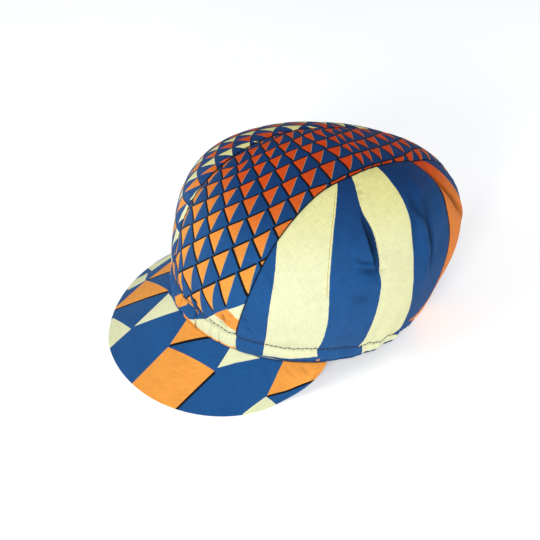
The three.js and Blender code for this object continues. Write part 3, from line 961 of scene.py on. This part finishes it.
# Counts the stripes: 1 at the first edge, 2 at the second, and so on
def stripePlaces(x, y):
    reach = np.abs(x)
    edges = alongTable(np.transpose(list(stripeEdges.values())), reach * 10, False)
    edges = list(np.moveaxis(edges, -1, 0))
    for index in range(1, len(edges)):
        edges[index] = np.maximum(edges[index], edges[index - 1] + 0.002)
    count = 1 + (y - edges[0]) / stripeShape["outside"]
    for index, (low, high) in enumerate(zip(edges, edges[1:])):
        count = np.where(y > low, index + 1 + (y - low) / (high - low), count)
    beyond = len(edges) + (y - edges[-1]) / stripeShape["outside"]
    count = np.where(y > edges[-1], beyond, count)
    return np.column_stack([count.ravel(), reach.ravel()])


def stripePrint(tree, dyes):
    shape = stripeShape
    count, reach = clothMap(tree, "print").split()
    count = count + shape["wobble"] * (ripple(tree, 120, 2) - 0.5)
    count = count + shape["fineWobble"] * (ripple(tree, 420, 2) - 0.5)
    colour = dyes[stripeInks[0]]
    for index, name in enumerate(stripeInks[1:]):
        colour = (count > index + 1).over(colour, dyes[name])
    doubled = count.between(*shape["misprint"]) * reach.between(*shape["misprintReach"])
    colour = doubled.over(colour, dyes["misprint"])
    rearLine = count > 5 - shape["rearLine"] + shape["rearLineThinning"] * reach
    colour = (rearLine * (count < 5)).over(colour, dyes["black"])
    return paintSeamShadows(tree, colour, dyes, shape["seamShadowWidths"])


stripeCotton = cottonMaterial("stripeCotton", stripePrint, {"paintedShadeOnInks": (0.85, 0.42)})
sideLeft = crownPanel("crownSideLeft", leftSeam, lambda y: 1 + 0 * y, sidePanel,
                      [stripeCotton, backCotton], stripePlaces)
sideRight = crownPanel("crownSideRight", lambda y: -1 + 0 * y, rightSeam, sidePanel,
                       [stripeCotton, backCotton], stripePlaces)
for piece, node in ((sideLeft, "side_panel_left"), (sideRight, "side_panel_right")):
    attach(piece, "root")
    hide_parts(node)
print("side panels made")

casing = {
    "wall": 2.2, "steps": 720, "edgeRound": 0.7, "fullness": 0.25,
    "girthShare": 1.45,  # half of the hem's girth, counted in the hem's length
}
band = {
    "wall": 1, "height": 24, "steps": 480, "gap": 0.4,
    "drop": 3.6,  # how far its edge shows under the casing at the sides
    "ribs": 2.4, "ribInk": 0.5,
}
# Colours round the casing, by degrees from the front toward either side, and how far an
# edge leans forward with each millimetre of height
casingInks = [(0, 0, "blue"), (17, 0, "paleYellow"), (43.5, 0, "blue"),
              (55.9, 0, "paleYellow"), (82.7, 0.17, "blue"), (107.7, 0.2, "paleYellow"),
              (132.5, 0.3, "blue"), (150, 0.2, "orange"), (163, 0.2, "blue")]
# Orange patches of the casing: corners in degrees and millimetres of height, anticlockwise
casingPatches = [
    [(6.5, 6), (8, 1.5), (10, 0.4), (16.3, 13), (17.3, 17), (11, 16)],
    [(21.8, 16.5), (22.6, 12.6), (24.4, 16.5)],
    [(81.2, 3), (83.4, 3), (82.9, 6.4)],
]
# Slanted edges: between two angles, a point of degrees and height on each, and its slope
casingEdges = {
    "upperBlue": ((0, 30), (17, 0), 1.45), "lowerOrange": ((15, 43.5), (0, 4.6), -0.09),
    "lowerBlue": ((56, 84), (57, 3), 0.24), "lowerBlueWave": 0.9, "wobble": 0.5,
}


# How far the sweatband is let down, 0 to 1: fully at the sides, not at the front or the rear
def bandShare(angle):
    place = rearward(angle)
    return smoothShare(place, 0.25, 0.36) * (1 - smoothShare(place, 0.82, 0.94))


# Painted shade of the folds and the stitching groove round a ring
def ringPaintedShade(angle, height):
    around = angle[:, None] + 0 * height
    x, y = discToSquare(np.sin(around), -np.cos(around))
    sunk = paintedShadeShare(around, riseAtHeight(around, height), x, y)
    return np.column_stack([sunk.ravel(), 0 * sunk.ravel()])


# A closed ring whose section lists height and depth from the outer face over the top. From
# the split on, the section has the second material.
def ringPiece(name, section, materials, split, steps):
    angle = np.linspace(0, 2 * np.pi, steps + 1)
    height, depth = section(angle[:, None])
    count = height.shape[1]
    points = settle(clothAtHeight(angle[:, None] + 0 * height, height, depth), ahead)
    girth = hem["length"] * casing["girthShare"] * angle[:, None] / np.pi + 0 * height
    walk = np.concatenate([0 * height[:, :1], np.cumsum(np.hypot(
        np.diff(height, axis=1), np.diff(depth, axis=1)), 1)], 1)
    degrees = np.degrees(angle[:, None] + 0 * height)
    maps = {
        "print": np.column_stack([degrees.ravel(), height.ravel()]),
        "threads": np.column_stack([girth.ravel(), walk.ravel()]),
        "sunk": ringPaintedShade(angle, height),
    }
    faces = gridFaces(steps + 1, count, 0, True)
    last = np.arange(steps) * count
    closing = np.stack([last + 2 * count - 1, last + count, last, last + count - 1], -1)
    inner = np.tile(np.arange(count - 1) >= split, steps)
    kinds = np.concatenate([inner, 0 * last + 1])
    piece = addPiece(name, points.reshape(-1, 3), np.concatenate([faces, closing]), materials,
                     kinds.astype(int), maps)
    weld = piece.modifiers.new("weld", "WELD")
    weld.merge_threshold = 0.00001
    return piece


def casingSection(angle):
    bottom, top = band["drop"] * bandShare(angle), stitchHeight(angle) - 0.06
    wall, edge = casing["wall"], casing["edgeRound"]
    heights, depths = [], []
    for turn in np.linspace(0, 1, 5):
        heights.append(bottom + edge * (1 - math.sin(turn * math.pi / 2)))
        depths.append(edge * (1 - math.cos((1 - turn) * math.pi / 2)) + 0 * angle)
    heights, depths = heights[::-1], depths[::-1]
    for share in np.linspace(0.08, 0.92, 10):
        heights.append(bottom + edge + (top - bottom - edge) * share)
        depths.append(0 * angle - casing["fullness"] * math.sin(share * math.pi))
    heights += [top - 0.15, top, top, top - 0.15]
    depths += [depth + 0 * angle for depth in (0.05, 0.3, wall - 0.3, wall - 0.05)]
    for share in (0.75, 0.5, 0.25):
        heights.append(bottom + edge + (top - bottom - edge) * share)
        depths.append(wall + 0 * angle)
    heights += [bottom + edge, bottom + 0.2]
    depths += [wall + 0 * angle, wall - 0.4 + 0 * angle]
    return np.concatenate(heights, 1), np.concatenate(depths, 1)


def sweatbandSection(angle):
    share = bandShare(angle)
    bottom, top = band["drop"] * share, stitchHeight(angle)
    middle, depth = (bottom + top) / 2, casing["wall"] + band["gap"] + 0 * angle
    inside = depth + band["wall"]
    lip = depth * (1 - share) + 1 * share
    bend = depth * (1 - 0.8 * share) + 0.8 * share * lip
    lowest = 0.5 * (1 - share)
    turn = lowest + np.maximum(0.4 * bottom, 0.3)
    tall = band["height"] + 0 * angle
    rows = [
        (lowest + 0.25, lip - 0.1), (turn, bend), (bottom + 1, depth), (middle, depth),
        (top, depth), ((top + tall) / 2, depth), (tall - 0.3, depth), (tall, depth + 0.3),
        (tall, inside - 0.3), (tall - 0.3, inside), ((top + tall) / 2, inside),
        (top, inside), (middle, inside), (bottom + 1.6, inside), (turn, inside),
        (lowest, bend + 1), (lowest - 0.02, lip + 0.3),
    ]
    return (np.concatenate([row[0] + 0 * angle for row in rows], 1),
            np.concatenate([row[1] + 0 * angle for row in rows], 1))


# Whether a place is within an edge's angles, and the edge's height there
def slantedEdge(fromFront, name):
    angles, (degrees, height), slope = casingEdges[name]
    return fromFront.between(*angles), (fromFront - degrees) * slope + height


def casingPrint(tree, dyes):
    degrees, height = clothMap(tree, "print").split()
    fromFront = 180 - (degrees - 180).absolute()
    fromFront = fromFront + casingEdges["wobble"] * (ripple(tree, 300, 2) - 0.5)
    colour = dyes[casingInks[0][2]]
    for start, lean, name in casingInks[1:]:
        colour = (fromFront + height * lean > start).over(colour, dyes[name])
    within, edge = slantedEdge(fromFront, "upperBlue")
    colour = (within * (height > edge)).over(colour, dyes["blue"])
    # the blue under the yellow stripe widens toward the rear
    within, edge = slantedEdge(fromFront, "lowerBlue")
    wave = casingEdges["lowerBlueWave"] * (ripple(tree, 110, 1) - 0.5)
    colour = (within * (height < edge + wave)).over(colour, dyes["blue"])
    within, edge = slantedEdge(fromFront, "lowerOrange")
    patches = within * (height < edge)
    place = fromFront.node("ShaderNodeCombineXYZ", None, {0: fromFront, 1: height})
    for corners in casingPatches:
        patches = patches | inside(place, corners)
    return patches.over(colour, dyes["orange"])


def bandPrint(tree, dyes):
    across = clothMap(tree, "threads").split()[1]
    rib = ((across * band["ribs"]).sine() * 0.5 + 0.5) * band["ribInk"]
    return rib.over(dyes["navy"], dyes["blue"])


casingCotton = cottonMaterial("casingCotton", casingPrint)
bandCotton = cottonMaterial("sweatbandTwill", bandPrint,
                            {"threadPitch": 0.9, "weaveHeight": 0.00012, "roughness": 0.9,
                             "paintedFoldDarkening": 0})
hemCasing = ringPiece("hemCasing", casingSection, [casingCotton, backCotton], 16,
                      casing["steps"])
sweatband = ringPiece("sweatbandStrip", sweatbandSection, [bandCotton, bandCotton], 99,
                      band["steps"])
for piece, node, slot in ((hemCasing, "hem_casing", "casing_cloth"),
                          (sweatband, "sweatband", "sweatband_cloth")):
    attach(piece, "root")
    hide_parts(node)
print("casing and sweatband made")

# Print of the peak seen from above: corners in millimetres, anticlockwise
peakShapes = [
    ("orange", [(-34, -127), (-3.9, -82.9), (-41, -97.7)]),
    ("orange", [(-39.6, -95.2), (-20, -72), (-43.1, -72)]),
    ("paleYellow", [(-49, -113.5), (-42, -98.5), (-55, -95), (-66, -114)]),
    ("paleYellow", [(-75, -95), (-53.5, -92), (-55.5, -72), (-75, -70)]),
    ("paleYellow", [(3.4, -112.3), (19, -77), (-1.2, -83.3)]),
    ("paleYellow", [(5.6, -138), (3.4, -114.9), (-23.2, -127.7), (-16, -148)]),
    ("orange", [(35.2, -89.8), (45.5, -61.5), (26.5, -73)]),
    ("orange", [(43.7, -127.8), (74.8, -106), (64, -64.6), (35.9, -91.5)]),
    ("paleYellow", [(63.3, -62.3), (68, -33.5), (56, -50)]),
    ("orange", [(84.8, -33.8), (82.8, 10), (78, 18), (72, -17.3)]),
    ("paleYellow", [(96, -58), (98, -14), (85.1, -34.6), (89.5, -52)]),
    ("orange", [(-84, -30), (-72, -14), (-78, 14), (-90, 6)]),
    ("paleYellow", [(-92, -52), (-72, -52), (-66, -34), (-92, -40)]),
]
# Black lines along them, with the width
peakLines = [
    ((-34, -127), (-3.9, -82.9), 1.5), ((-39.6, -95.2), (-20, -72), 1.5),
    ((35.2, -89.8), (45.5, -61.5), 1.5), ((74.8, -106), (64, -64.6), 1.5),
    ((84.8, -33.8), (82.8, 10), 0.8),
]
peakCloth = {
    "columns": 241, "rows": 61,
    "edgeRound": 0.9, "edgeShare": 0.85,  # rounding of the sewn edge
    "seamInset": 3.2, "seamDip": 0.12, "seamSoftness": 0.6,
    # how dark the peak's wrinkles are painted as shade
    "paintedFoldShade": 0.9,
    # wrinkles of the cover: across, outward to across, outward, height in mm, half width
    "wrinkles": [
        (0.78, 0.0, 0.89, 0.62, 0.55, 0.014), (0.74, 0.02, 0.84, 0.5, -0.55, 0.012),
        (0.84, 0.02, 0.92, 0.6, -0.55, 0.01), (0.7, 0.02, 0.77, 0.5, 0.4, 0.014),
        (0.65, 0.02, 0.7, 0.45, -0.35, 0.012), (0.57, 0.03, 0.61, 0.5, -0.3, 0.014),
        (0.6, 0.05, 0.64, 0.4, 0.3, 0.016), (0.5, 0.05, 0.53, 0.35, 0.25, 0.018),
        (-0.66, 0.05, -0.76, 0.5, 0.35, 0.018), (-0.45, 0.05, -0.5, 0.4, 0.25, 0.02),
    ],
}


def peakPrint(tree, dyes):
    place = clothMap(tree, "print")
    colour = dyes["blue"]
    for name, corners in peakShapes:
        colour = inside(place, corners).over(colour, dyes[name])
    for (fromX, fromY), (toX, toY), width in peakLines:
        length = math.hypot(toX - fromX, toY - fromY)
        sideX = (toY - fromY) / length * width
        sideY = -(toX - fromX) / length * width
        strip = [(fromX, fromY), (fromX + sideX, fromY + sideY),
                 (toX + sideX, toY + sideY), (toX, toY)]
        colour = inside(place, strip).over(colour, dyes["black"])
    return colour


def peakRelief(across, outward):
    relief = 0 * across
    for fromX, fromY, toX, toY, depth, halfWidth in peakCloth["wrinkles"]:
        runX, runY = toX - fromX, toY - fromY
        share = np.clip(((across - fromX) * runX + (outward - fromY) * runY)
                        / (runX ** 2 + runY ** 2), 0, 1)
        away = np.hypot(across - fromX - runX * share, (outward - fromY - runY * share) * 0.6)
        relief = relief + depth * np.exp(-(away / halfWidth) ** 2) * np.sin(np.pi * share)
    return relief


def makePeak():
    size = peakCloth
    across = np.sin(np.linspace(-1, 1, size["columns"]) * np.pi / 2)[None]
    outward = (1 - (1 - np.linspace(0, 1, size["rows"])) ** 1.5)[::-1, None]
    across, outward = across + 0 * outward, outward + 0 * across
    toEdge = (1 - outward) * (peakLength(across) + peak["tuckUnder"])
    rounding = np.clip(1 - toEdge / size["edgeRound"], 0, 1)
    rounding = size["edgeShare"] * (1 - np.sqrt(1 - rounding ** 2))
    seam = np.exp(-((toEdge - size["seamInset"]) / size["seamSoftness"]) ** 2)
    seam = size["seamDip"] * seam
    wrinkled = peakRelief(across, outward)
    outer = settle(peakPoint(across, outward, rounding + seam - wrinkled), ahead)
    inner = settle(peakPoint(across, outward, peak["wall"] - rounding - seam), ahead)
    # painted shade in the wrinkles
    sunk = np.clip(-size["paintedFoldShade"] * wrinkled, 0, 1)
    maps = {
        "print": outer[..., :2].reshape(-1, 2),
        "threads": np.column_stack([walked(outer, 1).ravel(), toEdge.ravel()]),
        "sunk": np.column_stack([sunk.ravel(), 0 * sunk.ravel()]),
    }
    return sheetPiece("peakCover", outer, inner, [peakCotton, underCotton], maps)


def plainBlue(tree, dyes):
    return ripple(tree, 60, 2).over(dyes["blue"], dyes["navy"])


peakCotton = cottonMaterial("peakCotton", peakPrint,
                            {"paintedFoldDarkening": 0.3, "streak": 0.4, "brightness": 1.04})
underCotton = cottonMaterial("peakUnderside", plainBlue, {"paintedFoldDarkening": 0})
peakPiece = makePeak()
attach(peakPiece, "root")
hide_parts("peak")
print("peak made")

# The turned edges of the panels, pressed open and sewn down inside the crown
seamEdge = {
    "width": 10.2, "wall": 0.5, "gap": 0.15, "steps": 200, "columns": 7,
    "stitchRow": (3.1, 3.5), "crease": 0.35,  # millimetres from its middle
}


def addSeamEdge(name, seam):
    y = np.linspace(-0.995, 0.995, seamEdge["steps"])[:, None]
    share = np.linspace(-0.5, 0.5, seamEdge["columns"])[None]
    x = seam(y) + share * seamEdge["width"] / crown["squareSpan"]
    x, y = np.clip(x, -0.999, 0.999), y + 0 * x
    angle, rise = squareToCrown(x, y)
    flat = crown["wall"] + seamEdge["gap"] + 0 * x
    outer = settle(clothPoint(angle, rise, flat), ahead)
    inner = settle(clothPoint(angle, rise, flat + seamEdge["wall"]), ahead)
    along = walked(outer[:, seamEdge["columns"] // 2])
    places = np.column_stack([(share * seamEdge["width"] + 0 * y).ravel(),
                              (along[:, None] + 0 * x).ravel()])
    return sheetPiece(name, outer, inner, [seamEdgeCotton, seamEdgeCotton], {"threads": places})


def seamEdgePrint(tree, dyes):
    across, along = clothMap(tree, "threads").split()
    fromMiddle = across.absolute()
    stitch = fromMiddle.between(*seamEdge["stitchRow"]) * ((along * 0.4).fraction() < 0.7)
    crease = fromMiddle < seamEdge["crease"]
    streak = ((along * 0.9).sine() * 0.5 + 0.5) * 0.2 + 0.1
    return (stitch | crease).over(streak.over(dyes["faded"], dyes["navy"]), dyes["navy"])


seamEdgeCotton = cottonMaterial("seamEdgeCotton", seamEdgePrint, {"paintedFoldDarkening": 0})
seamEdges = [addSeamEdge("seamEdgeLeft", leftSeam),
             addSeamEdge("seamEdgeCentre", centreSeam),
             addSeamEdge("seamEdgeRight", rightSeam)]
for piece in seamEdges:
    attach(piece, "root")
print("turned seam edges made")

stitching = {
    "pitch": 3.0, "length": 2.65, "thickness": 0.58, "sides": 6, "rings": 7,
    "lift": 0.22, "dive": 0.45,  # above the cloth at its middle, and down into it at its ends
    "aboveGroove": 0.5,
    "frontRise": 4.6, "frontRisePlace": 26, "frontRiseWidth": 11,  # millimetres, degrees
}


# Each stitch is a short tube that dives into the cloth at both ends.
def addStitches(name, path, normals, material):
    steps = walked(path)
    count = int(steps[-1] / stitching["pitch"])
    points, faces = [], []
    sides, rings = stitching["sides"], stitching["rings"]
    for index in range(count):
        share = np.linspace(0, 1, rings)
        along = (index + 0.15) * stitching["pitch"] + share * stitching["length"]
        centre = np.column_stack([np.interp(along, steps, path[:, k]) for k in range(3)])
        normal = np.column_stack([np.interp(along, steps, normals[:, k]) for k in range(3)])
        run = centre[-1] - centre[0]
        side = np.cross(run, normal[rings // 2])
        side /= np.linalg.norm(side)
        lift = stitching["lift"] - stitching["dive"] * np.abs(2 * share - 1) ** 3
        thick = stitching["thickness"] / 2 * (1 - 0.5 * np.abs(2 * share - 1) ** 4)
        first = len(points)
        for ring in range(rings):
            for turn in np.arange(sides) * 2 * np.pi / sides:
                out = side * math.cos(turn) + normal[ring] * math.sin(turn)
                points.append(centre[ring] + normal[ring] * lift[ring] + out * thick[ring])
        for ring in range(rings - 1):
            for turn in range(sides):
                after = (turn + 1) % sides
                a, b = first + ring * sides + turn, first + ring * sides + after
                faces.append((a, b, b + sides, a + sides))
        faces.append(tuple(first + turn for turn in range(sides))[::-1])
        faces.append(tuple(first + (rings - 1) * sides + turn for turn in range(sides)))
    return addPiece(name, points, faces, [material])


def threadMaterial():
    material, tree = emptyMaterial("darkThread")
    twist = ripple(tree, 1400, 2)
    colour = twist.over(inks["black"][0], inks["thread"][0])
    bend = twist.node("ShaderNodeBump", None, {
        "Strength": 0.6, "Distance": 0.0001, "Height": twist})
    shader = twist.node("ShaderNodeBsdfPrincipled", None, {
        "Base Color": colour, "Roughness": 0.55 + 0.2 * twist, "Normal": bend,
        "Sheen Weight": 0.15})
    shader.node("ShaderNodeOutputMaterial", None, {"Surface": shader})
    return material


thread = threadMaterial()


def hemStitches():
    angle = np.linspace(0, 2 * np.pi, 2400)
    degrees = np.degrees(np.pi * rearward(angle))
    rise = (degrees - stitching["frontRisePlace"]) / stitching["frontRiseWidth"]
    rise = stitching["frontRise"] * np.exp(-rise ** 2)
    height = stitchHeight(angle) + stitching["aboveGroove"] + rise
    path = settle(clothAtHeight(angle, height, 0 * angle), ahead)
    raised = settle(clothAtHeight(angle, height, -1 + 0 * angle), ahead)
    normals = raised - path
    normals /= np.linalg.norm(normals, axis=-1, keepdims=True)
    return addStitches("hemStitches", path, normals, thread)


topStitches = hemStitches()
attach(topStitches, "root")
print("stitches made")

# Flat size in metres that each piece of cloth is cut to, its area in square metres where
# the cut isn't a rectangle, how it is held, and what it rests on
cuts = [
    (middleLeft, (0.085, 0.376), 0.016, "stretched", [hemCasing]),
    (middleRight, (0.085, 0.373), 0.0152, "stretched", [hemCasing]),
    (sideLeft, (0.159, 0.347), 0.0237, "stretched", [hemCasing]),
    (sideRight, (0.111, 0.319), 0.0183, "stretched", [hemCasing]),
    (hemCasing, (0.0135, 0.56), None, "gathered", [sweatband, "peak"]),
    (sweatband, (0.025, 0.558), None, "gathered", [hemCasing]),
    (peakPiece, (0.2, 0.13), 0.0151, "stretched", [hemCasing]),
]
cuts += [(edge, (0.0102, length), None, "stretched", [middleLeft])
         for edge, length in zip(seamEdges, (0.335, 0.365, 0.313))]

studio = {
    "floor": (ink(254, 254, 254), ink(240, 240, 240)), "floorSize": 6000, "floorGlow": 0.31,
    "floorDrop": 0.05,  # millimetres under the cap
    "world": (0.95, 0.97, 1.0, 1), "worldStrength": 0.55,
    "aim": (0, 0, 0.07),  # metres
    # place in metres, size, power in watts, colour
    "key": ((1.0, -0.86, 0.68), 0.34, 7.4, (1.0, 0.99, 0.96)),
    "front": ((0.1, -1.3, 1.1), 0.6, 5, (1.0, 1.0, 1.0)),
    "fill": ((1.4, 0.7, 0.6), 1.2, 8, (0.98, 0.99, 1.0)),
}


def addLamp(name, place, size, power, colour):
    data = bpy.data.lights.new(name, "AREA")
    data.shape, data.size, data.energy, data.color = "DISK", size, power, colour
    item = bpy.data.objects.new(name, data)
    item.location = place
    away = Vector(place) - Vector(studio["aim"])
    item.rotation_euler = away.to_track_quat("Z", "Y").to_euler()
    scene.collection.objects.link(item)


def addFloor():
    size, count = studio["floorSize"], 41
    steps = np.linspace(-size / 2, size / 2, count)
    x, y = np.meshgrid(steps, steps)
    points = np.column_stack([x.ravel(), y.ravel(), 0 * x.ravel() - studio["floorDrop"]])
    material, tree = emptyMaterial("studioFloor")
    tone = ripple(tree, 3, 2).over(*studio["floor"])
    shader = tone.node("ShaderNodeBsdfPrincipled", None, {
        "Base Color": tone, "Roughness": 0.9, "Specular IOR Level": 0.1,
        "Emission Color": (1, 1, 1, 1), "Emission Strength": studio["floorGlow"]})
    tone.node("ShaderNodeOutputMaterial", None, {"Surface": shader})
    floor = addPiece("studioFloor", points, gridFaces(count, count, 0, False), [material])


addFloor()
for lamp in ("key", "front", "fill"):
    addLamp(lamp + "Lamp", *studio[lamp])
world = bpy.data.worlds.new("studioWorld")
world.use_nodes = True
world.node_tree.nodes["Background"].inputs[0].default_value = studio["world"]
world.node_tree.nodes["Background"].inputs[1].default_value = studio["worldStrength"]
scene.world = world
scene.view_settings.view_transform = "Standard"
print("studio lit")
